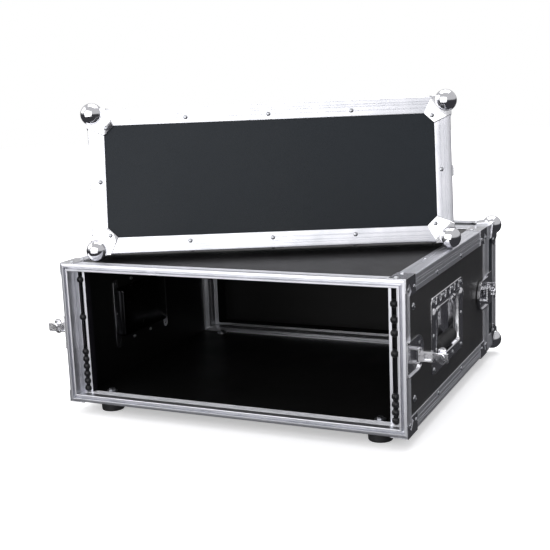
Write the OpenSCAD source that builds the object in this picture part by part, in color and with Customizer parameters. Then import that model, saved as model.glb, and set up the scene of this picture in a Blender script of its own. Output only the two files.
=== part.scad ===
// Portable equipment rack case: a plywood tube with aluminium edges, two lift-off lids,
// recessed bail handles, butterfly catches, front rack rails and rubber feet.
// Millimetres. X is to the right, Y to the back, Z up.
// The origin is on the floor, at the middle of the footprint from front face to rear balls.

/* [Case] */
// Outside width over the aluminium edges
case_w = 506; // [500:1:540]
// Outside height over the aluminium edges, feet not counted
case_h = 202; // [190:1:240]
// Depth of the case without its lids
body_d = 420; // [380:1:520]
// Depth of one lid, without its tongue
lid_d = 68; // [66:1:90]
// Plywood thickness
ply_t = 7; // [5:0.5:7]

/* [Aluminium edges] */
// Sheet thickness of every aluminium flange
al_t = 1.3; // [1:0.1:1.8]
// Flange width of the corner edges
flange_w = 23; // [20:1:26]
// Outer flange width of the frames round the openings
rim_w = 18; // [16:1:20]
// Inner flange depth of the frames round the openings
inner_w = 26; // [20:1:28]
// Thickness of the frames round the openings, outside to inside
bar_w = 10.8; // [10.2:0.1:11.4]
// Length of the tongue on each lid
tongue = 6; // [3:0.5:6.5]

/* [Lids] */
// Radius of the ball corners
ball_r = 15.5; // [13:0.5:17]
// Depth of the ball centres inside the three faces of a corner
ball_in = 5.5; // [4:0.5:7]
// Turn of the lid that stands on top, about the vertical
lid_yaw = 24; // [10:1:30]
// Sideways place of the standing lid's face
lid_x = 24; // [0:1:24]
// Distance of the standing lid's face from the front of the case
lid_y = 119; // [110:1:170]

/* [Rack rails] */
// Distance between the rows of rack screws, a 19 inch standard
rack_pitch = 465.1; // [465.1:0.1:465.1]
// Set-back of the rail faces from the front
rail_set = 17.2; // [16:0.2:30]
// Diameter of a rack screw's head
screw_d = 10.4; // [9:0.1:10.6]

/* [Handles and catches] */
// Length of a handle plate
plate_l = 160; // [150:1:170]
// Height of a handle plate
plate_h = 106; // [100:1:110]
// Length of the rubber grip
grip_l = 86; // [70:1:86]
// Distance of the catch pins from the joint with the lid
pin_a = 28; // [26:0.5:30]

/* [Feet] */
// Height of the rubber feet below the case
foot_h = 18; // [10:1:25]
// Radius of the rubber feet
foot_r = 17; // [13:0.5:18]

/* [Hidden] */
$fn = 64;
ball_out = ball_r - ball_in;
half_w = case_w / 2;
front_y = -(body_d + lid_d + ball_out) / 2;
ply_in = al_t + ply_t;
bar_blk = 9;
rack_x = rack_pitch / 2;
catch_z = case_h / 2;
handle_y = 191;
handle_z = case_h / 2 + 0.5;
handle_half_y = 62;
handle_half_z = 37;
dish_depth = 17;
hinge_n = -5.6;
bail_l = 54;
rail_z0 = bar_w + 0.2;
rail_z1 = case_h - bar_w - 0.2;
rivet_r = 3.1;
rivet_h = 1.5;
edge_rivet = 17;
angle_grooves = [6.4, 9.6, 15.2];
brace_t = 1;
brace_l = 39.8;
pin_n = 8;
pin_r = 1.5;
foot_x = 205;
foot_y = 36;
left_screws = [176.4, 121.8, 70.8, 59.9, 49, 38.1, 27.2, 16.3];
right_screws = [167.9, 147.5, 130.3, 103.8, 48, 37.4, 26.8, 16.2];
// lean of the standing lid: it rests on two balls and on the lower edge of its mouth
lean = asin(ball_r / norm([lid_d - ball_in, ball_in])) - atan2(ball_in, lid_d - ball_in);

// one sub-part to draw, or all of them

// ---- places: each puts its children in the case ----

// case frame: x from the middle, y from the front face, z from the underside
module in_case() {
  translate([0, front_y, foot_h]) children();
}

// a long corner of the case: x and z run inwards from the outer corner
module at_corner(sx, sz) {
  translate([sx * half_w, 0, sz > 0 ? case_h : 0])
    mirror([sx > 0 ? 1 : 0, 0, 0])
      mirror([0, 0, sz > 0 ? 1 : 0])
        children();
}

// one side of the case: x runs outwards, y runs inboard from the joint with a lid
module at_catch(sx, sy) {
  in_case()
    translate([sx * half_w, sy > 0 ? body_d : 0, catch_z])
      mirror([sx < 0 ? 1 : 0, 0, 0])
        mirror([0, sy > 0 ? 1 : 0, 0])
          children();
}

// handle frame on one side: x runs outwards from the plywood's face
module at_handle(sx) {
  in_case()
    translate([sx * (half_w - al_t), handle_y, handle_z])
      mirror([sx < 0 ? 1 : 0, 0, 0])
        children();
}

// the lid on the back of the case; in a lid's own frame its face is at y = 0
module as_rear_lid() {
  in_case() translate([0, body_d + lid_d, 0]) mirror([0, 1, 0]) children();
}

// the lid that stands on the case, leaning back on the edge of its mouth
module as_front_lid() {
  in_case()
    translate([lid_x, lid_y, case_h])
      rotate([0, 0, lid_yaw])
        translate([0, 0, lid_lift])
          rotate([-lean, 0, 0])
            children();
}
// height of the face's lower edge when the two lower balls touch the case
lid_lift = ball_r - ball_in * (cos(lean) - sin(lean)) + 0.05;

// ---- small shared shapes ----

// domed rivet head, base at z = 0
module dome(r, h) {
  big = (r * r + h * h) / (2 * h);
  intersection() {
    translate([0, 0, h - big]) sphere(r = big);
    cylinder(r = r, h = h);
  }
}

// ribbed angle section, outer corner at the origin, both legs inwards
module angle_2d(a, b) {
  difference() {
    union() {
      square([a, al_t]);
      square([al_t, b]);
    }
    difference() {
      square([1.2, 1.2]);
      translate([1.2, 1.2]) circle(r = 1.2);
    }
    for (a = angle_grooves) {
      translate([a, -0.1]) square([0.9, 0.55]);
      translate([-0.1, a]) square([0.55, 0.9]);
    }
  }
}

// section of the frame round an opening: x inwards, y back from the meeting face
module rim_2d(male) {
  difference() {
    union() {
      square([bar_w, bar_blk]);
      square([al_t, rim_w]);
      translate([ply_in, 0]) square([bar_w - ply_in, inner_w]);
      if (male) translate([5.4, -tongue]) square([1.8, tongue + 1]);
    }
    if (!male) translate([4.8, -1]) square([3, 8]);
    for (k = [0:4]) translate([bar_w - 0.35, 11 + k * 2.9]) square([1, 0.9]);
    for (k = [0:2]) translate([-0.65, 8 + k * 3.6]) square([1, 0.8]);
  }
}

// four mitred bars of one section round a case-sized rectangle, y from the section
module mitred_ring() {
  reach = case_h / 2;
  for (s = [-1, 1]) {
    intersection() {
      translate([0, 0, s > 0 ? case_h : 0]) mirror([0, 0, s > 0 ? 1 : 0])
        rotate([0, -90, 0]) linear_extrude(height = case_w, center = true) children();
      translate([0, 0, s > 0 ? case_h : 0]) mirror([0, 0, s > 0 ? 1 : 0])
        translate([0, 60, 0]) rotate([90, 0, 0]) linear_extrude(height = 80)
          polygon([[-half_w, 0], [half_w, 0], [half_w - reach, reach], [reach - half_w, reach]]);
    }
    intersection() {
      mirror([s > 0 ? 1 : 0, 0, 0]) translate([-half_w, 0, 0])
        linear_extrude(height = case_h) children();
      mirror([s > 0 ? 1 : 0, 0, 0]) translate([0, 60, 0]) rotate([90, 0, 0])
        linear_extrude(height = 80)
          polygon([[-half_w, 0], [reach - half_w, reach], [-half_w, case_h]]);
    }
  }
}

// slab with rounded corners in the y-z plane, from x = 0 to x = t
module round_slab(t, ly, lz, r) {
  rotate([90, 0, 90]) linear_extrude(height = t) {
    square([ly - 2 * r, lz], center = true);
    square([ly, lz - 2 * r], center = true);
    for (a = [-1, 1], b = [-1, 1])
      translate([a * (ly / 2 - r), b * (lz / 2 - r)]) circle(r = r);
  }
}

// ---- plywood tube ----

module flat_board(z) {
  color([0.10, 0.10, 0.11]) in_case()
    translate([al_t - half_w, bar_blk, z])
      cube([case_w - 2 * al_t, body_d - 2 * bar_blk, ply_t]);
}

module top_panel() {
  flat_board(case_h - ply_in);
}

module bottom_panel() {
  flat_board(al_t);
}

module side_board(s) {
  color([0.10, 0.10, 0.11]) difference() {
    in_case() translate([s > 0 ? half_w - ply_in : al_t - half_w, bar_blk, ply_in])
      cube([ply_t, body_d - 2 * bar_blk, case_h - 2 * ply_in]);
    at_handle(s) translate([-20, -handle_half_y - 1.5, -handle_half_z - 1.5])
      cube([40, 2 * handle_half_y + 3, 2 * handle_half_z + 3]);
  }
}

module left_panel() {
  side_board(-1);
}

module right_panel() {
  side_board(1);
}

// ---- aluminium edges and frames ----

module long_edge(sx, sz) {
  color([0.78, 0.79, 0.81]) in_case() at_corner(sx, sz)
    translate([0, body_d - rim_w, 0]) rotate([90, 0, 0])
      linear_extrude(height = body_d - 2 * rim_w) angle_2d(flange_w, flange_w);
}

module edge_top_left() {
  long_edge(-1, 1);
}

module edge_top_right() {
  long_edge(1, 1);
}

module edge_bottom_left() {
  long_edge(-1, -1);
}

module edge_bottom_right() {
  long_edge(1, -1);
}

module front_frame() {
  color([0.82, 0.83, 0.85]) in_case() mitred_ring() rim_2d(false);
}

module rear_frame() {
  color([0.82, 0.83, 0.85]) in_case() translate([0, body_d, 0]) mirror([0, 1, 0])
    mitred_ring() rim_2d(false);
}

// folded sheet brace over a corner of the case, drawn at the front lower left
module brace() {
  translate([-brace_t, 0, -brace_t]) cube([flange_w + brace_t, brace_l, brace_t]);
  difference() {
    translate([-brace_t, 0, -brace_t]) cube([brace_t, brace_l, flange_w + brace_t]);
    translate([-brace_t - 1, -6, flange_w - 1.5]) rotate([-38, 0, 0]) cube([4, 24, 14]);
  }
}

module corner_braces() {
  color([0.62, 0.63, 0.65]) in_case()
    for (sx = [-1, 1], sz = [-1, 1]) {
      at_corner(sx, sz) brace();
      at_corner(sx, sz) translate([0, body_d, 0]) mirror([0, 1, 0]) brace();
    }
}

// rivet on a long corner, on its side face or its flat face, at height n above it
module edge_head(on_side, along, across, n) {
  if (on_side) translate([-n, along, across]) rotate([0, -90, 0]) dome(rivet_r, rivet_h);
  if (!on_side) translate([across, along, -n]) rotate([180, 0, 0]) dome(rivet_r, rivet_h);
}

module body_rivets() {
  color([0.55, 0.56, 0.58]) {
    in_case() for (sx = [-1, 1], sz = [-1, 1]) at_corner(sx, sz) {
      for (y = [141, 264], side = [true, false]) edge_head(side, y, edge_rivet, 0);
      for (y = [9, 33.8], side = [true, false]) {
        edge_head(side, y, 14.5, brace_t);
        edge_head(side, body_d - y, 14.5, brace_t);
      }
    }
    for (s = [-1, 1]) {
      // handle plate rivets, outside and inside
      for (y = [-70, -23.5, 23.5, 70], z = [-46.5, 46.5]) at_handle(s) {
        translate([1.5, y, z]) rotate([0, 90, 0]) dome(rivet_r, rivet_h);
        translate([-ply_t, y, z]) rotate([0, -90, 0]) dome(rivet_r, rivet_h);
      }
      for (y = [-70.5, 70.5]) at_handle(s) {
        translate([1.5, y, 0]) rotate([0, 90, 0]) dome(rivet_r, rivet_h);
        translate([-ply_t, y, 0]) rotate([0, -90, 0]) dome(rivet_r, rivet_h);
      }
      // large heads that hold the rack rails
      for (z = [42, 162]) in_case() translate([s * (half_w - al_t), 34.8, z])
        rotate([0, s * 90, 0]) dome(4.6, 2.2);
      // heads that hold the catch plates
      for (e = [-1, 1], z = [-11, 11]) at_catch(s, e) translate([1.5, 50, z])
        rotate([0, 90, 0]) dome(2.2, 1.1);
    }
  }
}

// ---- rack rails, screws and feet ----

// slotted box section with a wall leg: x inboard from the plywood, y back from its face
module rail_2d() {
  t = 1.8;
  clear = bar_w - ply_in + 0.05;
  middle = half_w - ply_in - rack_x;
  in_x = middle + 7.3;
  box_y = 12.4;
  difference() {
    translate([clear, 0]) square([in_x - clear, box_y]);
    translate([clear + t, t]) square([in_x - clear - 2 * t, box_y - 2 * t]);
    translate([middle - 3.3, -1]) square([6.6, 4]);
  }
  translate([0, box_y - t]) square([in_x, t]);
  translate([0, box_y - t]) square([t, 16.4]);
}

module rail(s) {
  color([0.76, 0.77, 0.79]) in_case() mirror([s < 0 ? 1 : 0, 0, 0])
    translate([half_w - ply_in, rail_set, rail_z0]) mirror([1, 0, 0])
      linear_extrude(height = rail_z1 - rail_z0) rail_2d();
}

module rack_rail_left() {
  rail(-1);
}

module rack_rail_right() {
  rail(1);
}

// one rack screw with its washer outside the rail and its sliding nut inside
module rack_screw(s, z) {
  in_case() translate([s * rack_x, rail_set, z]) rotate([90, 0, 0]) {
    cylinder(d = screw_d, h = 0.9);
    difference() {
      translate([0, 0, 0.9]) dome(screw_d / 2 - 0.2, 4);
      for (a = [0, 90]) rotate([0, 0, a]) translate([-2.4, -0.5, 2.9]) cube([4.8, 1, 4]);
    }
    translate([0, 0, -8.6]) cylinder(r = 2.9, h = 8.7);
  }
  in_case() translate([s * rack_x - 5, rail_set + 1.85, z - 5])
    difference() {
      cube([10, 4, 10]);
      translate([5, 5, 5]) rotate([90, 0, 0]) cylinder(r = 2.95, h = 6);
    }
}

module screw_set(s, heights) {
  color([0.12, 0.12, 0.13]) for (z = heights) rack_screw(s, z);
}

module rack_screw_left_top() {
  screw_set(-1, [left_screws[0]]);
}

module rack_screw_left_upper() {
  screw_set(-1, [left_screws[1]]);
}

module rack_screws_left_stack() {
  screw_set(-1, [for (i = [2:7]) left_screws[i]]);
}

module rack_screw_right_1() {
  screw_set(1, [right_screws[0]]);
}

module rack_screw_right_2() {
  screw_set(1, [right_screws[1]]);
}

module rack_screw_right_3() {
  screw_set(1, [right_screws[2]]);
}

module rack_screw_right_4() {
  screw_set(1, [right_screws[3]]);
}

module rack_screws_right_stack() {
  screw_set(1, [for (i = [4:7]) right_screws[i]]);
}

module rubber_feet() {
  color([0.08, 0.08, 0.08]) in_case()
    for (sx = [-1, 1], y = [foot_y, body_d - foot_y]) translate([sx * foot_x, y, 0])
      difference() {
        union() {
          translate([0, 0, 2 - foot_h]) cylinder(r = foot_r, h = foot_h - 2 + al_t);
          translate([0, 0, -foot_h]) cylinder(r1 = foot_r - 2, r2 = foot_r, h = 2);
        }
        translate([0, 0, -foot_h - 1]) cylinder(r = 6, h = 9);
        translate([0, 0, -foot_h]) cylinder(r = 2.55, h = 30);
      }
}

// bolt through each foot: head in the foot's recess, washer and nut on the inner floor
module foot_fixings() {
  color([0.60, 0.61, 0.63]) in_case()
    for (sx = [-1, 1], y = [foot_y, body_d - foot_y]) translate([sx * foot_x, y, 0]) {
      translate([0, 0, 4.5 - foot_h]) cylinder(r = 4.6, h = 3.5);
      translate([0, 0, ply_in]) {
        cylinder(r = 8, h = 1.4);
        translate([0, 0, 1.4]) cylinder(r = 5, h = 3, $fn = 6);
      }
    }
}

// ---- side handles ----

module handle_dish(s) {
  color([0.80, 0.81, 0.83]) at_handle(s) {
    difference() {
      union() {
        round_slab(1.5, plate_l, plate_h, 9);
        translate([-dish_depth, -handle_half_y - 1.3, -handle_half_z - 1.3])
          cube([dish_depth + 0.5, 2 * handle_half_y + 2.6, 2 * handle_half_z + 2.6]);
      }
      translate([1.3 - dish_depth, -handle_half_y, -handle_half_z])
        cube([dish_depth + 2, 2 * handle_half_y, 2 * handle_half_z]);
    }
    // raised bosses beside the hinge
    for (e = [-1, 1]) translate([1.2, e * 69.5, 29]) rotate([0, 90, 0]) dome(8.5, 3.8);
    // bearing lugs for the bail
    for (e = [-1, 1]) translate([0, e * 51, 0]) difference() {
      translate([1.3 - dish_depth, -3, 23]) cube([dish_depth - 2, 6, 12]);
      translate([hinge_n, -4, 29]) rotate([-90, 0, 0]) cylinder(r = 2.5, h = 8);
    }
  }
}

// hinge rod across the dish, through both lugs
module handle_pins(s) {
  color([0.70, 0.71, 0.73]) at_handle(s)
    translate([hinge_n, 0, 29]) rotate([90, 0, 0]) cylinder(r = 2.5, h = 111, center = true);
}

// wire bail, hanging: eyes on the pins, arms down, cross rod through the grip
module handle_bail(s) {
  color([0.80, 0.81, 0.83]) at_handle(s) translate([hinge_n, 0, 29]) {
    for (e = [-1, 1]) translate([0, e * 44.8, 0]) {
      difference() {
        rotate([90, 0, 0]) cylinder(r = 6, h = 5.6, center = true);
        rotate([90, 0, 0]) cylinder(r = 2.56, h = 8, center = true);
      }
      translate([-3.2, -2.8, -bail_l]) cube([6.4, 5.6, bail_l - 4.2]);
      translate([0, 0, -bail_l]) rotate([90, 0, 0]) cylinder(r = 5, h = 5.6, center = true);
    }
    translate([0, 0, -bail_l]) rotate([90, 0, 0]) cylinder(r = 3.95, h = 2 * 43, center = true);
  }
}

module handle_grip(s) {
  color([0.07, 0.07, 0.07]) at_handle(s) translate([hinge_n, 0, 29 - bail_l]) rotate([90, 0, 0])
    difference() {
      union() {
        cylinder(r = 9.2, h = grip_l - 2, center = true);
        for (k = [-4:4]) translate([0, 0, k * 8.6]) cylinder(r = 9.6, h = 4.4, center = true);
      }
      cylinder(r = 4, h = grip_l + 2, center = true);
    }
}

module handle_dish_left() {
  handle_dish(-1);
}

module handle_pins_left() {
  handle_pins(-1);
}

module handle_bail_left() {
  handle_bail(-1);
}

module handle_grip_left() {
  handle_grip(-1);
}

module handle_dish_right() {
  handle_dish(1);
}

module handle_pins_right() {
  handle_pins(1);
}

module handle_bail_right() {
  handle_bail(1);
}

module handle_grip_right() {
  handle_grip(1);
}

// ---- butterfly catches ----

// outline of a catch plate: straight at the joint with the lid, round inboard
module plate_2d(r) {
  translate([38, 0]) circle(r = r);
  translate([1, -r]) square([37, 2 * r]);
}

module catch_plate() {
  rotate([90, 0, 90]) linear_extrude(height = 1.5) plate_2d(23.5);
  rotate([90, 0, 90]) linear_extrude(height = 4) difference() {
    plate_2d(23.5);
    plate_2d(21.4);
    translate([-1, -27]) square([4, 54]);
  }
  // two ears that carry the pin
  for (e = [-1, 1]) translate([0, pin_a, e * 9]) difference() {
    union() {
      translate([1, -3.6, -1.4]) cube([pin_n - 1, 7.2, 2.8]);
      translate([pin_n, 0, 0]) cylinder(r = 3.6, h = 2.8, center = true);
    }
    translate([pin_n, 0, 0]) cylinder(r = pin_r, h = 6, center = true);
  }
}

module catch_plates() {
  color([0.80, 0.81, 0.83]) for (sx = [-1, 1], sy = [-1, 1]) at_catch(sx, sy) catch_plate();
}

module catch_pins() {
  color([0.85, 0.86, 0.88]) for (sx = [-1, 1], sy = [-1, 1])
    at_catch(sx, sy) translate([pin_n, pin_a, 0])
      cylinder(r = pin_r, h = 23, center = true);
}

// pin frame of a catch: closed it points to -y, swung open by the angle a
module at_pin(sx, sy, a) {
  at_catch(sx, sy) translate([pin_n, pin_a, 0]) rotate([0, 0, a]) children();
}

// swinging arm: barrel on the pin, box, and a neck that carries the key
module arm_shape() {
  difference() {
    union() {
      cylinder(r = 4, h = 14.8, center = true);
      translate([-3.8, -18, -6.6]) cube([7.6, 16, 13.2]);
      translate([-2.2, -34, -4.5]) cube([3.6, 17, 9]);
    }
    cylinder(r = pin_r + 0.06, h = 20, center = true);
    translate([-9, -16, -4.4]) cube([8, 9, 8.8]);
    translate([-9, -28, 0]) rotate([0, 90, 0]) cylinder(r = 2.1, h = 20);
    // flat seat for the sliding hook
    translate([-9, -40, -7]) cube([6.8, 22.05, 14]);
  }
}

// hook under the neck, drawn in and out by the key
module hook_shape() {
  difference() {
    translate([-4.6, -38, -5.8]) cube([2.35, 20, 11.6]);
    translate([-5, -33, -2.3]) cube([3, 10.6, 4.6]);
    for (k = [0:1]) translate([-5, -19.8 - k * 2, -6]) cube([1.4, 0.9, 12]);
  }
}

// butterfly key: two wings outside, a shaft through the arm and a round head inside
module key_shape() {
  translate([0, -28, 0]) {
    translate([-6, 0, 0]) rotate([0, 90, 0]) cylinder(r = 5.2, h = 1.25);
    translate([-5, 0, 0]) rotate([0, 90, 0]) cylinder(r = 2, h = 8);
    translate([1.5, 0, 0]) rotate([0, 90, 0]) cylinder(r = 6.2, h = 2.7);
    for (e = [-1, 1]) translate([4.1, 0, e * 5.6]) rotate([0, 90, 0]) cylinder(r = 5.4, h = 1.8);
    translate([4.1, -2.2, -6]) cube([1.8, 4.4, 12]);
    translate([1.5, 0, 0]) rotate([0, 90, 0]) cylinder(r = 3.4, h = 5.6);
  }
}

front_open = 90;
rear_open = 0;

module arm(sx, sy) {
  color([0.82, 0.83, 0.85]) at_pin(sx, sy, sy < 0 ? front_open : rear_open) arm_shape();
}

module hook(sx, sy) {
  color([0.82, 0.83, 0.85]) at_pin(sx, sy, sy < 0 ? front_open : rear_open) hook_shape();
}

module key(sx, sy) {
  color([0.82, 0.83, 0.85]) at_pin(sx, sy, sy < 0 ? front_open : rear_open) key_shape();
}

module catch_arm_front_left() {
  arm(-1, -1);
}

module catch_hook_front_left() {
  hook(-1, -1);
}

module catch_key_front_left() {
  key(-1, -1);
}

module catch_arm_front_right() {
  arm(1, -1);
}

module catch_hook_front_right() {
  hook(1, -1);
}

module catch_key_front_right() {
  key(1, -1);
}

module catch_arm_rear_left() {
  arm(-1, 1);
}

module catch_hook_rear_left() {
  hook(-1, 1);
}

module catch_key_rear_left() {
  key(-1, 1);
}

module catch_arm_rear_right() {
  arm(1, 1);
}

module catch_hook_rear_right() {
  hook(1, 1);
}

module catch_key_rear_right() {
  key(1, 1);
}

// ---- lids, drawn in the lid's own frame: face at y = 0, mouth at y = lid_d ----

module lid_panel() {
  color([0.14, 0.15, 0.17]) translate([al_t - half_w, al_t, al_t])
    cube([case_w - 2 * al_t, ply_t, case_h - 2 * al_t]);
}

module lid_walls() {
  wall_d = lid_d - bar_blk - ply_in;
  color([0.12, 0.12, 0.13]) {
    for (z = [al_t, case_h - ply_in]) translate([al_t - half_w, ply_in, z])
      cube([case_w - 2 * al_t, wall_d, ply_t]);
    for (x = [al_t - half_w, half_w - ply_in]) translate([x, ply_in, ply_in])
      cube([ply_t, wall_d, case_h - 2 * ply_in]);
  }
}

module lid_edges() {
  color([0.82, 0.83, 0.85]) {
    mitred_ring() angle_2d(flange_w, flange_w);
    for (sx = [-1, 1], sz = [-1, 1]) at_corner(sx, sz)
      translate([0, lid_d - rim_w, 0]) rotate([90, 0, 0])
        linear_extrude(height = lid_d - rim_w - flange_w) angle_2d(flange_w, flange_w);
  }
}

module lid_rim() {
  color([0.82, 0.83, 0.85]) translate([0, lid_d, 0]) mirror([0, 1, 0])
    mitred_ring() rim_2d(true);
}

// corner plate outline on a face, the corner at the origin, folded edges at -1.2
module corner_2d() {
  polygon([[-1.2, -1.2], [25.6, -1.2], [25.6, 0], [36.5, 22.2],
    [22.2, 36.5], [0, 25.6], [-1.2, 25.6]]);
}

module ball_corner() {
  difference() {
    translate([ball_in, ball_in, ball_in]) sphere(r = ball_r);
    cube([60, 60, 60]);
  }
  // three folded plates: on the face, on the side and on the flat
  rotate([90, 0, 0]) linear_extrude(height = 1.2) corner_2d();
  rotate([0, -90, 0]) linear_extrude(height = 1.2) corner_2d();
  translate([0, 0, -1.2]) linear_extrude(height = 1.2) corner_2d();
}

module lid_balls() {
  color([0.86, 0.87, 0.89]) for (sx = [-1, 1], sz = [-1, 1]) at_corner(sx, sz) ball_corner();
}

// corner plate heads on all three faces, and heads along the edges
module lid_heads() {
  color([0.55, 0.56, 0.58]) {
    for (sx = [-1, 1], sz = [-1, 1]) at_corner(sx, sz) {
      translate([26, -1.2, 26]) rotate([90, 0, 0]) dome(rivet_r, rivet_h);
      translate([-1.2, 26, 26]) rotate([0, -90, 0]) dome(rivet_r, rivet_h);
      translate([26, 26, -1.2]) rotate([180, 0, 0]) dome(rivet_r, rivet_h);
    }
    for (x = [-115.5, 0, 115.5], z = [15, case_h - 15])
      translate([x, 0, z]) rotate([90, 0, 0]) dome(rivet_r, rivet_h);
    for (x = [15 - half_w, half_w - 15])
      translate([x, 0, case_h / 2]) rotate([90, 0, 0]) dome(rivet_r, rivet_h);
    for (x = [-115.5, 0, 115.5], s = [-1, 1])
      translate([x, 15, s > 0 ? case_h : 0]) rotate([s > 0 ? 0 : 180, 0, 0])
        dome(rivet_r, rivet_h);
  }
}

// strike for each catch: a plate with a low lip and a standing tab
module lid_strikes() {
  color([0.80, 0.81, 0.83]) for (s = [-1, 1]) mirror([s < 0 ? 1 : 0, 0, 0])
    translate([half_w, lid_d, case_h / 2]) {
      translate([0, -30, -26]) cube([1.2, 29, 52]);
      translate([1.2, -27, -7.5]) cube([7.3, 3, 15]);
      translate([1.2, -11, -8]) cube([1.6, 3, 16]);
    }
}

module front_lid_panel() {
  as_front_lid() lid_panel();
}

module front_lid_walls() {
  as_front_lid() lid_walls();
}

module front_lid_edges() {
  as_front_lid() lid_edges();
}

module front_lid_rim() {
  as_front_lid() lid_rim();
}

module front_lid_ball_corners() {
  as_front_lid() lid_balls();
}

module front_lid_rivets() {
  as_front_lid() lid_heads();
}

module front_lid_keepers() {
  as_front_lid() lid_strikes();
}

module rear_lid_panel() {
  as_rear_lid() lid_panel();
}

module rear_lid_walls() {
  as_rear_lid() lid_walls();
}

module rear_lid_edges() {
  as_rear_lid() lid_edges();
}

module rear_lid_rim() {
  as_rear_lid() lid_rim();
}

module rear_lid_ball_corners() {
  as_rear_lid() lid_balls();
}

module rear_lid_rivets() {
  as_rear_lid() lid_heads();
}

module rear_lid_keepers() {
  as_rear_lid() lid_strikes();
}

top_panel();
bottom_panel();
left_panel();
right_panel();
edge_top_left();
edge_top_right();
edge_bottom_left();
edge_bottom_right();
front_frame();
rear_frame();
corner_braces();
body_rivets();
rack_rail_left();
rack_rail_right();
rack_screw_left_top();
rack_screw_left_upper();
rack_screws_left_stack();
rack_screw_right_1();
rack_screw_right_2();
rack_screw_right_3();
rack_screw_right_4();
rack_screws_right_stack();
rubber_feet();
foot_fixings();
handle_dish_left();
handle_pins_left();
handle_bail_left();
handle_grip_left();
handle_dish_right();
handle_pins_right();
handle_bail_right();
handle_grip_right();
catch_plates();
catch_pins();
catch_arm_front_left();
catch_hook_front_left();
catch_key_front_left();
catch_arm_front_right();
catch_hook_front_right();
catch_key_front_right();
catch_arm_rear_left();
catch_hook_rear_left();
catch_key_rear_left();
catch_arm_rear_right();
catch_hook_rear_right();
catch_key_rear_right();
front_lid_panel();
front_lid_walls();
front_lid_edges();
front_lid_rim();
front_lid_ball_corners();
front_lid_rivets();
front_lid_keepers();
rear_lid_panel();
rear_lid_walls();
rear_lid_edges();
rear_lid_rim();
rear_lid_ball_corners();
rear_lid_rivets();
rear_lid_keepers();
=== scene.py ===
"""Portable equipment rack case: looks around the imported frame. Metres, +Z up.

Pieces are drawn in millimetres in the case's or a lid's own frame, then placed.
"""
import math

import bmesh
import bpy
from mathutils import Matrix, Vector


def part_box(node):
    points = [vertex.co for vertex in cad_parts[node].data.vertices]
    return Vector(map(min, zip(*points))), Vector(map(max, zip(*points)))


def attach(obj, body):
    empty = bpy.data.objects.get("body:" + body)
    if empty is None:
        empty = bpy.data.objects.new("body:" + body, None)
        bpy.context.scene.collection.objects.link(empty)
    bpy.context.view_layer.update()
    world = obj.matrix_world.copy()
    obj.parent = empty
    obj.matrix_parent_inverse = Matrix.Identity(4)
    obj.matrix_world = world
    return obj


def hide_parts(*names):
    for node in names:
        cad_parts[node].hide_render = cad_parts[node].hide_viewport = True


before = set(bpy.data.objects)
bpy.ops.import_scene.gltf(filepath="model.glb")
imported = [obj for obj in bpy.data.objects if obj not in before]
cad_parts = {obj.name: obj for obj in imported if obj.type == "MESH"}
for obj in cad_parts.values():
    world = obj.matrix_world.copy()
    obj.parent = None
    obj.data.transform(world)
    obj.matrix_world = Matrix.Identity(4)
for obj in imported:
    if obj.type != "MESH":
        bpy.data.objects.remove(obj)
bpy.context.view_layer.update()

MM = 0.001
PI = math.pi

# ---- main sizes, from the frame ----

case_low = Vector(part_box("front_frame")[0]) / MM
case_high = Vector(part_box("front_frame")[1]) / MM
CASE_W = case_high.x - case_low.x
CASE_H = case_high.z - case_low.z
HALF_W = CASE_W / 2
FRONT_Y = case_low.y
UNDER_Z = case_low.z
BODY_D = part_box("rear_frame")[1][1] / MM - FRONT_Y
LID_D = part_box("rear_lid_edges")[1][1] / MM - FRONT_Y - BODY_D
RIM_W = 18.0
FLANGE_W = 23.0
SHEET_T = 1.3
BALL_R = 15.5
BALL_IN = 5.5
PLATE_T = 1.2
BAR_GAP = 0.1
HANDLE_Y = 191.0
# where the front lid stands on the case
LID_YAW = math.radians(24)
LID_X = 24.0
LID_Y = 119.0


def move(x, y, z):
    return Matrix.Translation((x, y, z))


def turn(degrees, axis):
    return Matrix.Rotation(math.radians(degrees), 4, axis)


def mirror(x=False, y=False, z=False):
    return Matrix.Diagonal((-1 if x else 1, -1 if y else 1, -1 if z else 1, 1))


IN_CASE = move(0, FRONT_Y, UNDER_Z)
lid_deep = LID_D - BALL_IN
LEAN = math.asin(BALL_R / math.hypot(lid_deep, BALL_IN)) - math.atan2(BALL_IN, lid_deep)
LID_LIFT = BALL_R - BALL_IN * (math.cos(LEAN) - math.sin(LEAN)) + 0.05
FRONT_LID = (IN_CASE @ move(LID_X, LID_Y, CASE_H) @ Matrix.Rotation(LID_YAW, 4, "Z")
             @ move(0, 0, LID_LIFT) @ Matrix.Rotation(-LEAN, 4, "X"))
REAR_LID = IN_CASE @ move(0, BODY_D + LID_D, 0) @ mirror(y=True)


def corner(sx, sz):
    """A long corner of the case: x and z run inwards from the outer corner."""
    return move(sx * HALF_W, 0, CASE_H if sz > 0 else 0) @ mirror(x=sx > 0, z=sz > 0)


def catch_place(sx, sy):
    """One side of the case: x outwards, y inboard from the joint with a lid."""
    y = BODY_D if sy > 0 else 0
    return IN_CASE @ move(sx * HALF_W, y, CASE_H / 2) @ mirror(x=sx < 0, y=sy > 0)


def handle_place(sx):
    """Handle frame: x outwards from the plywood's face."""
    return IN_CASE @ move(sx * (HALF_W - SHEET_T), HANDLE_Y, CASE_H / 2 + 0.5) @ mirror(x=sx < 0)


# ---- materials ----


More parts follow.
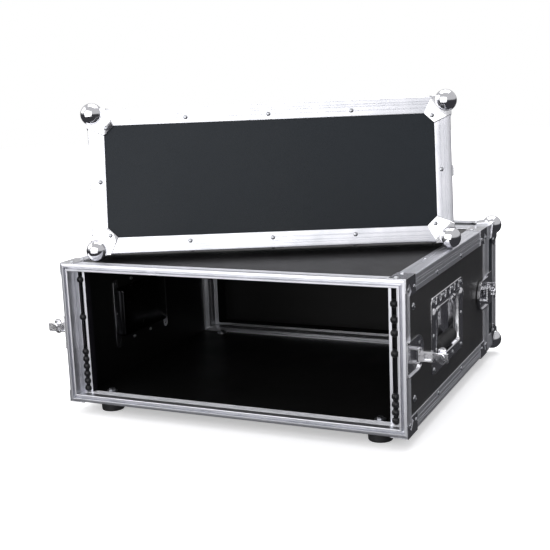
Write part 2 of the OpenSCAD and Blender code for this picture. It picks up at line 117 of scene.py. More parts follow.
class Nodes:
    """Small helper to write a shader as a list of calls."""

    def __init__(self, name):
        self.material = bpy.data.materials.new(name)
        self.material.use_nodes = True
        self.tree = self.material.node_tree
        self.shader = self.tree.nodes["Principled BSDF"]
        self.coord = self.tree.nodes.new("ShaderNodeTexCoord").outputs["Object"]

    def add(self, kind, **values):
        node = self.tree.nodes.new("ShaderNode" + kind)
        for key, value in values.items():
            if hasattr(node, key):
                setattr(node, key, value)
        return node

    def link(self, a, b):
        self.tree.links.new(a, b)

    def stretched(self, scale):
        mapping = self.add("Mapping")
        mapping.inputs["Scale"].default_value = scale
        self.link(self.coord, mapping.inputs["Vector"])
        return mapping.outputs["Vector"]

    def noise(self, scale, detail=4, rough=0.6, stretch=None):
        node = self.add("TexNoise")
        node.inputs["Scale"].default_value = scale
        node.inputs["Detail"].default_value = detail
        node.inputs["Roughness"].default_value = rough
        self.link(self.stretched(stretch) if stretch else self.coord, node.inputs["Vector"])
        return node.outputs["Fac"]

    def cells(self, scale, feature="F1"):
        node = self.add("TexVoronoi", feature=feature)
        node.inputs["Scale"].default_value = scale
        self.link(self.coord, node.inputs["Vector"])
        return node.outputs["Distance"]

    def ramp(self, source, low, high, low_at=0.0, high_at=1.0):
        """A grey value from low to high while the source goes between two marks."""
        node = self.add("MapRange")
        node.inputs["From Min"].default_value = low_at
        node.inputs["From Max"].default_value = high_at
        node.inputs["To Min"].default_value = low
        node.inputs["To Max"].default_value = high
        self.link(source, node.inputs["Value"])
        return node.outputs["Result"]

    def blend(self, factor, a, b):
        node = self.add("Mix", data_type="RGBA")
        node.inputs[6].default_value = (*a, 1)
        if isinstance(b, tuple):
            node.inputs[7].default_value = (*b, 1)
        else:
            self.link(b, node.inputs[7])
        self.link(factor, node.inputs[0])
        return node.outputs[2]

    def bump(self, height, strength, distance, after=None):
        node = self.add("Bump")
        node.inputs["Strength"].default_value = strength
        node.inputs["Distance"].default_value = distance
        self.link(height, node.inputs["Height"])
        if after:
            self.link(after, node.inputs["Normal"])
        return node.outputs["Normal"]

    def set(self, **values):
        for key, value in values.items():
            socket = self.shader.inputs[key.replace("_", " ")]
            if isinstance(value, (int, float, tuple)):
                socket.default_value = (*value, 1) if isinstance(value, tuple) else value
            else:
                self.link(value, socket)
        return self.material


def aluminium(name, along, base, dull):
    """Satin extrusion: fine drawn lines along one axis, faint stains and handling marks."""
    n = Nodes(name)
    stretch = [3200.0, 3200.0, 3200.0]
    stretch["xyz".index(along)] = 26.0
    lines = n.noise(1.0, detail=3, stretch=stretch)
    stains = n.noise(26.0, detail=5)
    marks = n.noise(190.0, detail=6, rough=0.75)
    colour = n.blend(n.ramp(stains, 0, 1, 0.35, 0.7), base, tuple(c * 1.12 for c in dull))
    spots = n.ramp(marks, 0, 0.55, 0.66, 0.78)
    darker = n.blend(spots, base, dull)
    both = n.add("Mix", data_type="RGBA", blend_type="MULTIPLY")
    both.inputs[0].default_value = 0.25
    n.link(colour, both.inputs[6])
    n.link(darker, both.inputs[7])
    rough = n.add("Math", operation="ADD")
    n.link(n.ramp(lines, 0.29, 0.39, 0.3, 0.7), rough.inputs[0])
    n.link(n.ramp(stains, -0.03, 0.07, 0.3, 0.7), rough.inputs[1])
    return n.set(
        Base_Color=both.outputs[2], Metallic=0.93, Roughness=rough.outputs[0],
        Normal=n.bump(marks, 0.05, 0.0001, n.bump(lines, 0.10, 0.0001)),
    )


def laminate(name, base, light, grain=1.0, shine=0.5):
    """Thin textured sheet on plywood: small pebbled cells, faint scuffs and dust."""
    n = Nodes(name)
    pebble = n.cells(1150.0, "SMOOTH_F1")
    fine = n.noise(2300.0, detail=3)
    cloud = n.noise(7.0, detail=6)
    scuff = n.noise(1.0, detail=5, rough=0.7, stretch=(38.0, 95.0, 210.0))
    tone = n.blend(n.ramp(cloud, 0, 1, 0.3, 0.72), base, light)
    mixed = n.add("Mix", data_type="RGBA")
    n.link(n.ramp(scuff, 0, 0.5, 0.68, 0.8), mixed.inputs[0])
    n.link(tone, mixed.inputs[6])
    mixed.inputs[7].default_value = (*[c * 1.9 for c in light], 1)
    rough = n.add("Math", operation="ADD")
    n.link(n.ramp(cloud, 0.36, 0.5, 0.3, 0.7), rough.inputs[0])
    n.link(n.ramp(pebble, -0.05, 0.08, 0.0, 0.7), rough.inputs[1])
    return n.set(
        Base_Color=mixed.outputs[2], Roughness=rough.outputs[0], Specular_IOR_Level=shine,
        Normal=n.bump(fine, 0.12 * grain, 0.0002, n.bump(pebble, 0.35 * grain, 0.0004)),
    )


def plated(name, base, rough_low, rough_high, mottled):
    """Plated steel or chrome: thin smears, pits and a slightly uneven pressing; also the near-black
    painted dark reflection on the handle pressings' backs.
    """
    n = Nodes(name)
    smear = n.noise(60.0, detail=5)
    pits = n.noise(900.0, detail=4, rough=0.7)
    waves = n.noise(85.0, detail=1)
    shade = n.ramp(smear, 0, 1, 0.35, 0.7)
    colour = n.blend(shade, base, tuple(c * (1 - mottled) for c in base))
    return n.set(
        Base_Color=colour, Metallic=1.0, Roughness=n.ramp(smear, rough_low, rough_high, 0.3, 0.7),
        Normal=n.bump(pits, 0.1 * (1 + mottled), 0.0001, n.bump(waves, 0.12, 0.0006)),
    )


def rubber(name, base):
    """Moulded rubber with a dull skin, a fine grain and grey dust; the same shader also draws the
    painted shade in the rails' slot channels.
    """
    n = Nodes(name)
    grain = n.noise(1600.0, detail=4)
    dust = n.noise(48.0, detail=6, rough=0.7)
    colour = n.blend(n.ramp(dust, 0, 0.5, 0.5, 0.78), base, tuple(c * 3.2 + 0.01 for c in base))
    return n.set(
        Base_Color=colour, Roughness=n.ramp(dust, 0.48, 0.7, 0.3, 0.7), Specular_IOR_Level=0.42,
        Normal=n.bump(grain, 0.3, 0.0003),
    )


def painted(name, base):
    """Black oxide or paint on steel, with bare glints."""
    n = Nodes(name)
    wear = n.noise(420.0, detail=5, rough=0.7)
    tone = n.noise(60.0)
    colour = n.blend(n.ramp(wear, 0, 1, 0.66, 0.74), base, (0.16, 0.16, 0.17))
    return n.set(
        Base_Color=colour, Metallic=n.ramp(wear, 0.35, 1.0, 0.66, 0.74),
        Roughness=n.ramp(tone, 0.26, 0.42, 0.3, 0.7), Normal=n.bump(wear, 0.15, 0.0002),
    )


BRIGHT = (0.80, 0.80, 0.84)
DULL = (0.62, 0.63, 0.66)
ALU = {a: aluminium("aluminium_along_" + a, a, BRIGHT, DULL) for a in "xyz"}
LAMINATE = laminate("black_laminate", (0.0135, 0.0135, 0.0145), (0.021, 0.0205, 0.0215))
LID_LAMINATE = laminate("lid_laminate", (0.0065, 0.0095, 0.0135), (0.010, 0.0135, 0.018),
                        shine=0.22)
CHROME = plated("chrome", (0.84, 0.84, 0.87), 0.07, 0.16, 0.05)
PRESSED = plated("pressed_chrome", (0.78, 0.78, 0.81), 0.13, 0.26, 0.10)
ZINC = plated("zinc", (0.56, 0.57, 0.60), 0.22, 0.36, 0.22)
RUBBER = rubber("black_rubber", (0.011, 0.011, 0.012))
# near-black plated colour for the handle pressings' backs inside the case: painted dark reflection
# where the chrome mirrors the dark inside
PAINTED_DARK_REFLECTION = plated("painted_dark_reflection", (0.035, 0.035, 0.038), 0.16, 0.3, 0.2)
INNER = laminate("inner_black", (0.0035, 0.0035, 0.0036), (0.0055, 0.0054, 0.0054), grain=0.8,
                 shine=0.2)
# near-black colour for the rail faces inside the slot channels: painted shade in the recess, drawn
# with the rubber shader
PAINTED_CHANNEL_SHADE = rubber("painted_channel_shade", (0.004, 0.003, 0.006))
BLACK_STEEL = painted("black_steel", (0.012, 0.012, 0.014))

# ---- mesh building ----


class Shape:
    """Collects closed shells in millimetres and turns them into one piece."""

    def __init__(self):
        self.mesh = bmesh.new()

    def loft(self, rings, matrix=Matrix.Identity(4), slot=0, caps=True, around=True):
        """Joins rings of the same number of points; caps close the first and the last."""
        made = [[self.mesh.verts.new(matrix @ Vector(p)) for p in ring] for ring in rings]
        faces = []
        for a, b in zip(made, made[1:]):
            count = len(a)
            for i in range(count if around else count - 1):
                j = (i + 1) % count
                faces.append(self.mesh.faces.new((a[i], a[j], b[j], b[i])))
        if caps:
            faces.append(self.mesh.faces.new(list(reversed(made[0]))))
            faces.append(self.mesh.faces.new(made[-1]))
        for face in faces:
            face.material_index = slot
        bmesh.ops.recalc_face_normals(self.mesh, faces=faces)
        return faces

    def lathe(self, profile, matrix, steps=32, slot=0):
        """Turns (radius, height) points about z; radius 0 ends are closed to a point."""
        rings = []
        for radius, height in profile:
            r = max(radius, 0.02)
            rings.append([(r * math.cos(2 * PI * i / steps), r * math.sin(2 * PI * i / steps),
                           height) for i in range(steps)])
        return self.loft(rings, matrix, slot)

    def bar(self, section, length, matrix, slot=0):
        """Section in x-y, along +z."""
        return self.loft([[(x, y, 0) for x, y in section], [(x, y, length) for x, y in section]],
                         matrix, slot)

    def tube(self, path, radius, steps=10, slot=0, matrix=Matrix.Identity(4), closed=False):
        """Round tube along a path of points, with a frame carried from point to point."""
        points = [Vector(p) for p in path]
        count = len(points)
        rings = []
        side = None
        for i, p in enumerate(points):
            if closed:
                ahead = (points[(i + 1) % count] - points[i - 1]).normalized()
            else:
                ahead = (points[min(i + 1, count - 1)] - points[max(i - 1, 0)]).normalized()
            if side is None:
                side = ahead.orthogonal().normalized()
            side = (side - ahead * side.dot(ahead)).normalized()
            other = ahead.cross(side)
            rings.append([p + radius * (math.cos(2 * PI * k / steps) * side
                                        + math.sin(2 * PI * k / steps) * other)
                          for k in range(steps)])
        if closed:
            rings.append(rings[0])
        return self.loft(rings, matrix, slot, caps=not closed)

    def face_outwards(self):
        bmesh.ops.recalc_face_normals(self.mesh, faces=self.mesh.faces)

    def piece(self, name, materials, body, slot_name, stands_for=(), place=Matrix.Identity(4),
              bevel=0.0, angle=32, thick=0.0):
        data = bpy.data.meshes.new(name)
        # a mirrored place is worked into the mesh, so that the object has a plain placement
        rigid = place
        if place.determinant() < 0:
            self.mesh.transform(place)
            bmesh.ops.reverse_faces(self.mesh, faces=self.mesh.faces)
            rigid = Matrix.Identity(4)
        self.mesh.transform(Matrix.Scale(MM, 4))
        self.mesh.to_mesh(data)
        self.mesh.free()
        obj = bpy.data.objects.new(name, data)
        bpy.context.scene.collection.objects.link(obj)
        spot = rigid.copy()
        spot.translation = rigid.translation * MM
        obj.matrix_world = spot
        for material in materials:
            data.materials.append(material)
        finish_edges(obj, bevel, angle, thick)
        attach(obj, body)
        if stands_for:
            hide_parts(*stands_for)
        return obj


def finish_edges(obj, width, angle, thick=0.0):
    """Small bright arrises: rounds sharp edges and shades the rest smooth."""
    data = obj.data
    data.polygons.foreach_set("use_smooth", [True] * len(data.polygons))
    if thick:
        solid = obj.modifiers.new("thickness", "SOLIDIFY")
        solid.thickness = thick * MM
        solid.offset = -1
    if width:
        bevel = obj.modifiers.new("arris", "BEVEL")
        bevel.width = width * MM
        bevel.segments = 2
        bevel.limit_method = "ANGLE"
        bevel.angle_limit = math.radians(angle)
        bevel.miter_outer = "MITER_ARC"
        bevel.harden_normals = True
    else:
        data.set_sharp_from_angle(angle=math.radians(angle))


def dress(node, material, width=0.0, angle=32):
    """A CAD node whose shape is right: its material, and rounded arrises by modifiers."""
    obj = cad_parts[node]
    obj.data.materials.clear()
    obj.data.materials.append(material)
    if "custom_normal" in obj.data.attributes:
        obj.data.attributes.remove(obj.data.attributes["custom_normal"])
    weld = obj.modifiers.new("weld", "WELD")
    weld.merge_threshold = 0.00001
    obj.data.polygons.foreach_set("use_smooth", [True] * len(obj.data.polygons))
    bevel = obj.modifiers.new("arris", "BEVEL")
    bevel.width = max(width, 0.02) * MM
    bevel.segments = 2
    bevel.limit_method = "ANGLE"
    bevel.angle_limit = math.radians(angle)
    bevel.harden_normals = True
    return obj


# ---- extrusions ----

GROOVES = (6.4, 9.6, 15.2)
MITRE_GAP = 0.12


def leg(end, grooves, wide=0.9, deep=0.45):
    """Outer face of a flange as (distance, depth) points, from the nose to the end."""
    points = [(1.7, 0.0)]
    for a in grooves:
        points += [(a - 0.15, 0.0), (a + 0.1, deep), (a + wide - 0.1, deep), (a + wide + 0.15, 0.0)]
    return points + [(end - 0.9, 0.0), (end - 0.25, 0.2), (end, 0.7), (end, SHEET_T)]


def angle_section(end):
    """Angle with a rounded nose; both legs run inwards from the outer corner."""
    along = leg(end, GROOVES)
    nose = [(1.7 - 1.7 * math.sin(math.radians(a)), 1.7 - 1.7 * math.cos(math.radians(a)))
            for a in (18, 36, 54, 72)]
    other = [(d, a) for a, d in reversed(along)]
    return list(reversed(along)) + nose + other + [(SHEET_T, SHEET_T)]


def rim_section(tongue):
    """Frame round an opening: x inwards from the outer face, y back from the meeting face."""
    outer = [(0.25, RIM_W), (0, RIM_W - 0.5)]
    for a in (15.2, 11.6, 8.0):
        outer += [(0, a + 0.85), (0.4, a + 0.7), (0.4, a + 0.1), (0, a - 0.05)]
    outer += [(0, 1.2), (0.2, 0.55), (0.55, 0.2), (1.2, 0)]
    if tongue:
        face = [(5.4, 0), (5.4, -tongue + 0.4), (5.8, -tongue), (6.8, -tongue),
                (7.2, -tongue + 0.4), (7.2, 0)]
    else:
        face = [(4.3, 0), (4.8, 0.5), (4.8, 7), (7.8, 7), (7.8, 0.5), (8.3, 0)]
    inner = [(10.0, 0), (10.55, 0.25), (10.8, 0.8)]
    for a in (11.0, 13.9, 16.8, 19.7, 22.6):
        inner += [(10.8, a - 0.05), (10.4, a + 0.1), (10.4, a + 0.8), (10.8, a + 0.95)]
    inner += [(10.8, 25.4), (10.3, 26), (8.5, 26), (8.3, 25.6), (8.3, 9), (1.3, 9), (1.3, RIM_W)]
    return outer + face + inner


def ring_of_bars(shape, section, matrix=Matrix.Identity(4)):
    """Four mitred bars of one section round the case's outline; slots 0 along x, 1 along z."""
    gap = MITRE_GAP / 2
    for low in (True, False):
        rings = []
        for side in (-1, 1):
            rings.append([(side * (HALF_W - x - gap), y, x if low else CASE_H - x)
                          for x, y in section])
        shape.loft(rings, matrix, 0)
    for side in (-1, 1):
        rings = [[(side * (HALF_W - x), y, x + gap) for x, y in section],
                 [(side * (HALF_W - x), y, CASE_H - x - gap) for x, y in section]]
        shape.loft(rings, matrix, 1)


for name, place, male, body in (
    ("front_frame", IN_CASE, 0, "case"),
    ("rear_frame", IN_CASE @ move(0, BODY_D, 0) @ mirror(y=True), 0, "case"),
    ("front_lid_rim", FRONT_LID @ move(0, LID_D, 0) @ mirror(y=True), 6, "front_lid"),
    ("rear_lid_rim", REAR_LID @ move(0, LID_D, 0) @ mirror(y=True), 6, "rear_lid"),
):
    shape = Shape()
    ring_of_bars(shape, rim_section(male))
    lid_frame = FRONT_LID if name == "front_lid_rim" else Matrix.Identity(4)
    shape.mesh.transform(lid_frame.inverted() @ place)
    shape.face_outwards()
    shape.piece(name + "_bars", [ALU["x"], ALU["z"]], body, "aluminium", (name,), lid_frame,
                angle=24)

LIDS = (("front_lid", FRONT_LID), ("rear_lid", REAR_LID))
for name, place in LIDS:
    shape = Shape()
    ring_of_bars(shape, angle_section(FLANGE_W))
    for sx in (-1, 1):
        for sz in (-1, 1):
            length = LID_D - RIM_W - FLANGE_W - 2 * BAR_GAP
            shape.bar(angle_section(FLANGE_W), length,
                      corner(sx, sz) @ move(0, LID_D - RIM_W, 0) @ turn(90, "X"), 2)
    if place.determinant() < 0:
        shape.mesh.transform(place)
        shape.face_outwards()
        place = Matrix.Identity(4)
    shape.piece(name + "_edge_bars", [ALU["x"], ALU["z"], ALU["y"]], name, "aluminium",
                (name + "_edges",), place, angle=24)

for node, sx, sz in (("edge_top_left", -1, 1), ("edge_top_right", 1, 1),
                     ("edge_bottom_left", -1, -1), ("edge_bottom_right", 1, -1)):
    shape = Shape()
    shape.bar(angle_section(FLANGE_W), BODY_D - 2 * (RIM_W + BAR_GAP),
              corner(sx, sz) @ move(0, BODY_D - RIM_W - BAR_GAP, 0) @ turn(90, "X"))
    shape.mesh.transform(IN_CASE)
    shape.face_outwards()
    shape.piece(node + "_bar", [ALU["y"]], "case", "aluminium", (node,), angle=24)

# ---- rivets ----

RIVET = [(3.1, -0.3), (3.1, 0.15), (3.0, 0.4), (2.6, 0.8), (2.0, 1.15), (1.3, 1.4),
         (1.0, 1.45), (0.85, 1.3), (0.8, 0.85), (0, 0.8)]


def scaled(profile, r, h):
    return [(a * r, b * h) for a, b in profile]


def rivet_on_edge(shape, place, on_side, along, across, height):
    spot = (move(-height, along, across) @ turn(-90, "Y") if on_side
            else move(across, along, -height) @ turn(180, "X"))
    shape.lathe(RIVET, place @ spot, 24)


shape = Shape()
for sx in (-1, 1):
    for sz in (-1, 1):
        at = IN_CASE @ corner(sx, sz)
        for on_side in (True, False):
            for y in (141, 264):
                rivet_on_edge(shape, at, on_side, y, 17, 0)
            for y in (9, 33.8):
                rivet_on_edge(shape, at, on_side, y, 14.5, 1)
                rivet_on_edge(shape, at, on_side, BODY_D - y, 14.5, 1)
    spots = [(y, z) for y in (-70, -23.5, 23.5, 70) for z in (-46.5, 46.5)]
    for y, z in spots + [(-70.5, 0), (70.5, 0)]:
        shape.lathe(RIVET, handle_place(sx) @ move(1.5, y, z) @ turn(90, "Y"), 24)
        shape.lathe(RIVET, handle_place(sx) @ move(-7, y, z) @ turn(-90, "Y"), 24)
    for z in (42, 162):
        shape.lathe(scaled(RIVET, 1.5, 1.5), IN_CASE @ move(sx * (HALF_W - SHEET_T), 34.8, z)
                    @ turn(sx * 90, "Y"), 28)
    for end in (-1, 1):
        for z in (-11, 11):
            shape.lathe(scaled(RIVET, 0.7, 0.75), catch_place(sx, end) @ move(1.5, 50, z)
                        @ turn(90, "Y"), 20)
shape.face_outwards()
shape.piece("case_rivet_heads", [ZINC], "case", "plated_steel", ("body_rivets",), angle=40)


def lid_rivets():
    shape = Shape()
    for sx in (-1, 1):
        for sz in (-1, 1):
            at = corner(sx, sz)
            shape.lathe(RIVET, at @ move(26, -1.2, 26) @ turn(90, "X"), 24)
            shape.lathe(RIVET, at @ move(-1.2, 26, 26) @ turn(-90, "Y"), 24)
            shape.lathe(RIVET, at @ move(26, 26, -1.2) @ turn(180, "X"), 24)
    for x in (-115.5, 0, 115.5):
        for z in (15, CASE_H - 15):
            shape.lathe(RIVET, move(x, 0, z) @ turn(90, "X"), 24)
        shape.lathe(RIVET, move(x, 15, CASE_H), 24)
        shape.lathe(RIVET, move(x, 15, 0) @ turn(180, "X"), 24)
    for x in (15 - HALF_W, HALF_W - 15):
        shape.lathe(RIVET, move(x, 0, CASE_H / 2) @ turn(90, "X"), 24)
    return shape


# ---- ball corners ----

PLATE = [(-1.0, -1.0), (25.6, -1.0), (25.6, 0), (36.5, 22.2), (36.0, 23.8), (23.8, 36.0),
         (22.2, 36.5), (0, 25.6), (-1.0, 25.6)]


PLATE_MID = 13.0
BALL_SKIN = 0.92
COLLAR_R = math.sqrt(BALL_R ** 2 - (BALL_IN + PLATE_T) ** 2) + 0.5


def ball_shell(mesh, at):
    """The ball without the part inside the lid's corner, with an inner skin and closed rims."""
    middle = Vector((BALL_IN,) * 3)
    ball = bmesh.new()
    bmesh.ops.create_uvsphere(ball, u_segments=64, v_segments=40, radius=BALL_R)
    ball.transform(Matrix.Translation(middle))
    for axis in ((1, 0, 0), (0, 1, 0), (0, 0, 1)):
        bmesh.ops.bisect_plane(ball, geom=ball.verts[:] + ball.edges[:] + ball.faces[:],
                               dist=0.0001, plane_co=(0, 0, 0), plane_no=axis)
    inside = [f for f in ball.faces if min(f.calc_center_median()) > 0]
    bmesh.ops.delete(ball, geom=inside, context="FACES")
    skin = {v: mesh.verts.new(at @ v.co) for v in ball.verts}
    under = {v: mesh.verts.new(at @ (middle + (v.co - middle) * BALL_SKIN)) for v in ball.verts}
    for f in ball.faces:
        mesh.faces.new([skin[v] for v in f.verts])
        mesh.faces.new([under[v] for v in reversed(f.verts)])
    for e in ball.edges:
        if len(e.link_faces) == 1:
            a, b = e.verts
            mesh.faces.new((skin[a], skin[b], under[b], under[a]))
    ball.free()


def corner_plate(shape, place):
    """Plate on one face of a corner, and the raised collar where the ball leaves it."""
    top = [(PLATE_MID + (x - PLATE_MID) * 0.975, PLATE_MID + (y - PLATE_MID) * 0.975, PLATE_T)
           for x, y in PLATE]
    shape.loft([[(x, y, 0) for x, y in PLATE], [(x, y, 0.85) for x, y in PLATE], top], place)
    arc = [math.radians(-26 + 142 * i / 32) for i in range(33)]
    shape.tube([(BALL_IN + COLLAR_R * math.cos(a), BALL_IN + COLLAR_R * math.sin(a), 1.15)
                for a in arc], 0.75, 8, 0, place)


def ball_corners():
    shape = Shape()
    for sx in (-1, 1):
        for sz in (-1, 1):
            at = corner(sx, sz)
            ball_shell(shape.mesh, at)
            for face in (turn(90, "X"), turn(-90, "Y"), mirror(z=True)):
                corner_plate(shape, at @ face)
    shape.face_outwards()
    return shape


for name, place in LIDS:
    ball_corners().piece(name + "_corner_balls", [CHROME], name, "chrome",
                         (name + "_ball_corners",), place, angle=38)
    lid_rivets().piece(name + "_rivet_heads", [ZINC], name, "plated_steel", (name + "_rivets",),
                       place, angle=40)

# ---- side handles ----

HINGE_N = -5.6
HINGE_Z = 29.0
BAIL_L = 54.0
GRIP_Z = HINGE_Z - BAIL_L
COIL_R = 4.1
WIRE_R = 0.75


def rounded(wide, high, radius, height, steps=6):
    """Loop of a rounded rectangle in y-z at one height along x."""
    points = []
    for sy, sz, start in ((1, 1, 0), (-1, 1, 90), (-1, -1, 180), (1, -1, 270)):
        for i in range(steps + 1):
            a = math.radians(start + 90 * i / steps)
            points.append((height, sy * (wide / 2 - radius) + radius * math.cos(a),
                           sz * (high / 2 - radius) + radius * math.sin(a)))
    return points


def dish_shape():
    """Plate with a beaded rim and a pressed well, as one open sheet from the rim to the floor."""
    shape = Shape()
    lip = [(160, 106, 9, 0.05), (160, 106, 9, 0.9), (158.8, 104.8, 8.6, 1.6), (157, 103, 8, 2.0),
           (154.5, 100.5, 7.2, 2.0), (152.5, 98.5, 6.6, 1.5), (133, 82, 5.4, 1.5),
           (130.6, 79.8, 5.2, 1.9), (127.6, 77, 5, 2.0), (125.4, 75.2, 4.6, 1.3),
           (124, 74, 4.2, -0.4), (123.2, 73.2, 4.2, -12.4), (121.6, 71.6, 4.4, -14.9),
           (117.6, 67.6, 4.8, -15.7), (60, 24, 6, -15.7), (2, 2, 0.4, -15.7)]
    shape.loft([rounded(*step) for step in lip], caps=False)
    last_loop = 4 * (6 + 1)
    shape.mesh.faces.new(shape.mesh.verts[-last_loop:])
    shape.face_outwards()
    if sum(f.normal.x * f.calc_area() for f in shape.mesh.faces) < 0:
        bmesh.ops.reverse_faces(shape.mesh, faces=shape.mesh.faces)
    return shape


GRIP = [(0, -43), (5.4, -43), (7.6, -42.6), (8.8, -41.4), (9.3, -39.6)]
for rib in range(-8, 9):
    mid = rib * 4.5
    GRIP += [(9.1, mid - 2.2), (9.5, mid - 1.5), (9.6, mid), (9.5, mid + 1.5)]
GRIP += [(9.1, 38.2), (9.3, 39.6), (8.8, 41.4), (7.6, 42.6), (5.4, 43), (0, 43)]


def eased(points, radius, steps=6):
    """Rounds the inner corners of a path of points."""
    out = [Vector(points[0])]
    for a, b, c in zip(points, points[1:], points[2:]):
        a, b, c = Vector(a), Vector(b), Vector(c)
        start = b + (a - b).normalized() * radius
        end = b + (c - b).normalized() * radius
        for i in range(steps + 1):
            t = i / steps
            out.append(start.lerp(b, t).lerp(b.lerp(end, t), t))
    out.append(Vector(points[-1]))
    return out


def lugs_and_springs():
    """Bearing lugs, coil springs, bosses, backing strips and ribs of one dish."""
    lugs = Shape()
    outline = [(-15.6, 22.5), (-2.4, 22.5)]
    outline += [(HINGE_N + 5.0 * math.cos(math.radians(a)),
                 HINGE_Z + 5.0 * math.sin(math.radians(a)))
                for a in range(-20, 201, 20)] + [(-15.6, 35)]
    boss = [(8.9, 0), (8.7, 0.7), (7.8, 1.3), (7.2, 2.2), (6, 3.1), (4, 3.7), (2, 3.95), (0, 4)]
    for end in (-1, 1):
        lugs.loft([[(x, end * 51 - 2.6, z) for x, z in outline],
                   [(x, end * 51 + 2.6, z) for x, z in outline]])
        # spring round the hinge rod, with its two straight tails
        coil = [(HINGE_N + COIL_R * math.cos(a), end * (29 + 1.55 * a / PI),
                 HINGE_Z + COIL_R * math.sin(a))
                for a in [PI * i / 9 for i in range(64)]]
        lugs.tube(coil, WIRE_R, 8)
        lugs.tube([coil[0], (-12, end * 28.6, 30), (-15.2, end * 28.4, 31)], WIRE_R, 8)
        lugs.tube([coil[-1], (-3.4, end * 40.4, 22), (-4.2, end * 41.4, 14)], WIRE_R, 8)
        lugs.lathe(boss, move(1.2, end * 69.5, HINGE_Z) @ turn(90, "Y"), 40)
        # strip behind the plate's end rivets, inside the case
        strip = [(-7.3, *p[1:]) for p in rounded(13, 106, 6.4, 0)]
        lugs.loft([[(x, y + end * 70, z) for x, y, z in strip],
                   [(x - 0.9, y + end * 70, z) for x, y, z in strip]])
    # stiffening ridge across the dish under the hinge rod, and ribs in the top band
    ridge = [(-15.8, -58, 19.5), (-14.9, -56, 19.5), (-14.9, 56, 19.5), (-15.8, 58, 19.5)]
    lugs.tube(ridge, 1.3, 10)
    for y in (-58, -35.5, -11.8, 11.8, 35.5, 58):
        rib = eased([(1.2, y, 40), (2.2, y, 42), (2.2, y, 49.5), (1.2, y, 51)], 1.0, 4)
        lugs.tube(rib, 1.2, 10)
    lugs.face_outwards()
    return lugs


def bail_straps():
    """Two flat straps with an eye at each end, and the rod through the grip."""
    bail = Shape()
    for end in (-1, 1):
        y = end * 44.8
        outline = []
        for mid, start, r in ((0.0, 0, 6.0), (-BAIL_L, 180, 5.0)):
            outline += [(r * math.cos(math.radians(start + a)),
                         mid + r * math.sin(math.radians(start + a))) for a in range(-30, 211, 15)]
        bail.loft([[(x, y - 2.7, z) for x, z in outline], [(x, y + 2.7, z) for x, z in outline]],
                  move(HINGE_N, 0, HINGE_Z))
        bail.lathe([(0, 0), (4.2, 0), (4.2, 0.5), (3.4, 1.2), (0, 1.6)],
                   move(HINGE_N, y + end * 2.7, GRIP_Z) @ turn(-end * 90, "X"), 24)
    bail.tube([(HINGE_N, -44, GRIP_Z), (HINGE_N, 44, GRIP_Z)], 3.9, 20)
    bail.face_outwards()
    return bail


def rubber_grip():
    grip = Shape()
    grip.lathe(GRIP, move(HINGE_N, 0, GRIP_Z) @ turn(90, "X"), 40)
    grip.face_outwards()
    return grip


for side, sx in (("left", -1), ("right", 1)):
    at = handle_place(sx)
    pressing = dish_shape().piece("handle_dish_pressing_" + side, [PRESSED, PAINTED_DARK_REFLECTION], "case",
                                  "chrome", ("handle_dish_" + side,), at, angle=50, thick=1.1)
    # the pressing's inner shell from the thickness takes the second slot, the painted dark
    # reflection
    pressing.modifiers["thickness"].material_offset = 1
    lugs_and_springs().piece("handle_lugs_and_springs_" + side, [PRESSED], "case", "chrome", (), at,
                             bevel=0.3, angle=50)
    bail_straps().piece("handle_bail_straps_" + side, [CHROME], "handle_" + side, "chrome",
                        ("handle_bail_" + side,), at, bevel=0.5, angle=50)
    rubber_grip().piece("handle_rubber_" + side, [RUBBER], "handle_" + side, "black_rubber",
                        ("handle_grip_" + side,), at, angle=60)
    dress("handle_pins_" + side, CHROME, 0.3)

# ---- feet ----

FOOT = [(0, -10), (5.6, -10), (5.9, -10.3), (6, -16.6), (6.8, -17.7), (8, -18), (14.6, -18),
        (15.7, -17.6), (16.2, -16.6), (16.9, -4), (17, -1.2), (16.6, -0.2), (15.8, 0), (0, 0)]
FOOT_X = 205
FOOT_Y = 36
feet = Shape()
for sx in (-1, 1):
    for y in (FOOT_Y, BODY_D - FOOT_Y):
        feet.lathe(FOOT, IN_CASE @ move(sx * FOOT_X, y, 0), 48)
feet.face_outwards()
feet.piece("rubber_foot_mouldings", [RUBBER], "case", "black_rubber", ("rubber_feet",), angle=50)

# ---- CAD nodes that keep their shape ----

TOWARDS_MIDDLE = -0.004
# slot half width and depth band, from the rail's front, of the channel faces that get the painted
# shade
SLOT_HALF = 0.0076
CHANNEL_FROM, CHANNEL_TO = 0.0003, 0.0118


def repaint(obj, material, wanted):
    """Gives the faces for which wanted(centre, normal) is true a second material."""
    obj.data.materials.append(material)
    for face in obj.data.polygons:
        face.material_index = 1 if wanted(face.center, face.normal) else 0


def faces_middle(middle):
    """Test for faces that look towards a point inside."""
    return lambda centre, normal: normal.dot(centre - middle) < TOWARDS_MIDDLE


case_middle = (case_low + case_high) * 0.5 * MM
case_middle.y = (FRONT_Y + BODY_D / 2) * MM
for node in ("top_panel", "bottom_panel", "left_panel", "right_panel"):
    repaint(dress(node, LAMINATE, 0.3), INNER, faces_middle(case_middle))
lid_inside = Vector((0, LID_D - 2, CASE_H / 2))
for lid, place in LIDS:
    middle = place @ lid_inside * MM
    for part in ("panel", "walls"):
        repaint(dress(f"{lid}_{part}", LID_LAMINATE, 0.3), INNER, faces_middle(middle))
rail_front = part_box("rack_rail_left")[0][1]
for node in ("rack_rail_left", "rack_rail_right"):
    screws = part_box(node.replace("rack_rail", "rack_screws") + "_stack")
    row = (screws[0][0] + screws[1][0]) / 2
    # rail faces inside the slot channel get the near-black painted shade
    repaint(dress(node, ALU["z"], 0.25), PAINTED_CHANNEL_SHADE, lambda centre, normal:
            abs(centre.x - row) < SLOT_HALF
            and CHANNEL_FROM < centre.y - rail_front < CHANNEL_TO)
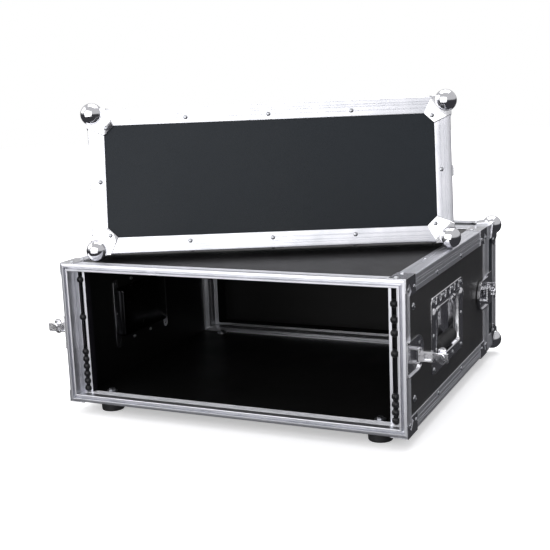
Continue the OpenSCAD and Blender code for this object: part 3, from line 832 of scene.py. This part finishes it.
dress("corner_braces", PRESSED, 0.35)
dress("foot_fixings", ZINC, 0.3)
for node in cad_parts:
    if node.startswith("rack_screw"):
        dress(node, BLACK_STEEL, 0.15)
    if node.startswith(("catch_", "front_lid_keepers", "rear_lid_keepers")):
        dress(node, CHROME if "key" in node or "hook" in node else PRESSED, 0.3)

# ---- floor, light and camera ----

FLOOR_R = 6.0


def paper_white():
    """Pale paper that glows a little more away from the object, so that its edge is not seen."""
    n = Nodes("floor_paper")
    fibre = n.noise(12.0)
    away = n.add("VectorMath", operation="LENGTH")
    n.link(n.coord, away.inputs[0])
    glow = n.ramp(away.outputs["Value"], 0.40, 1.0, 0.5, 1.8)
    return n.set(
        Base_Color=n.blend(fibre, (0.86, 0.86, 0.87), (0.89, 0.89, 0.90)), Roughness=0.85,
        Specular_IOR_Level=0.1, Emission_Color=(1.0, 1.0, 1.0), Emission_Strength=glow,
    )


floor_mesh = bmesh.new()
bmesh.ops.create_circle(floor_mesh, cap_ends=True, segments=96, radius=FLOOR_R)
floor_data = bpy.data.meshes.new("floor")
floor_mesh.to_mesh(floor_data)
floor_mesh.free()
floor_data.materials.append(paper_white())
floor = bpy.data.objects.new("floor", floor_data)
bpy.context.scene.collection.objects.link(floor)
floor.visible_glossy = False


def softbox(name, place, aim, wide, high, watts):
    light = bpy.data.lights.new(name, "AREA")
    light.shape = "RECTANGLE"
    light.size = wide
    light.size_y = high
    light.energy = watts
    obj = bpy.data.objects.new(name, light)
    bpy.context.scene.collection.objects.link(obj)
    obj.location = place
    obj.rotation_euler = (Vector(aim) - Vector(place)).to_track_quat("-Z", "Y").to_euler()


softbox("front_softbox", (-0.3, -3.0, 0.9), (0.0, 0.0, 0.25), 4.4, 3.2, 84)
softbox("left_softbox", (-2.6, -0.6, 1.7), (0.0, 0.0, 0.2), 1.6, 1.6, 26)
softbox("top_softbox", (-0.2, 0.9, 2.8), (0.0, 0.0, 0.0), 2.8, 2.2, 60)



def studio_world():
    """White behind the object; for light and reflections, dark below and pale grey above."""
    world = bpy.data.worlds.new("studio")
    world.use_nodes = True
    tree = world.node_tree
    tree.nodes.clear()

    def add(kind):
        return tree.nodes.new("ShaderNode" + kind)

    out, mix, seen = add("OutputWorld"), add("MixShader"), add("LightPath")
    back, around = add("Background"), add("Background")
    coord, split = add("TexCoord"), add("SeparateXYZ")
    half, shade = add("MapRange"), add("ValToRGB")
    back.inputs["Color"].default_value = (1, 1, 1, 1)
    back.inputs["Strength"].default_value = 1.0
    half.inputs["From Min"].default_value = -1
    below, above = shade.color_ramp.elements
    below.position = 0.50
    below.color = (0.045, 0.045, 0.05, 1)
    above.position = 0.58
    above.color = (0.60, 0.60, 0.61, 1)
    for a, b in ((coord.outputs["Generated"], split.inputs[0]),
                 (split.outputs["Z"], half.inputs["Value"]),
                 (half.outputs["Result"], shade.inputs[0]),
                 (shade.outputs[0], around.inputs["Color"]),
                 (seen.outputs["Is Camera Ray"], mix.inputs[0]),
                 (around.outputs[0], mix.inputs[1]),
                 (back.outputs[0], mix.inputs[2]),
                 (mix.outputs[0], out.inputs[0])):
        tree.links.new(a, b)
    return world


bpy.context.scene.world = studio_world()

CAMERA_AT = (0.6293, -1.4323, 0.4769)
CAMERA_YAW = 24.898
CAMERA_DOWN = 11.2
CAMERA_ROLL = -2.326
lens = bpy.data.cameras.new("camera")
lens.lens = 68.2
lens.sensor_width = 36
camera = bpy.data.objects.new("camera", lens)
bpy.context.scene.collection.objects.link(camera)
camera.matrix_world = (Matrix.Translation(CAMERA_AT) @ turn(CAMERA_YAW, "Z")
                       @ turn(90 - CAMERA_DOWN, "X") @ turn(CAMERA_ROLL, "Z"))
bpy.context.scene.camera = camera
bpy.context.scene.view_settings.view_transform = "Standard"

bpy.context.view_layer.update()
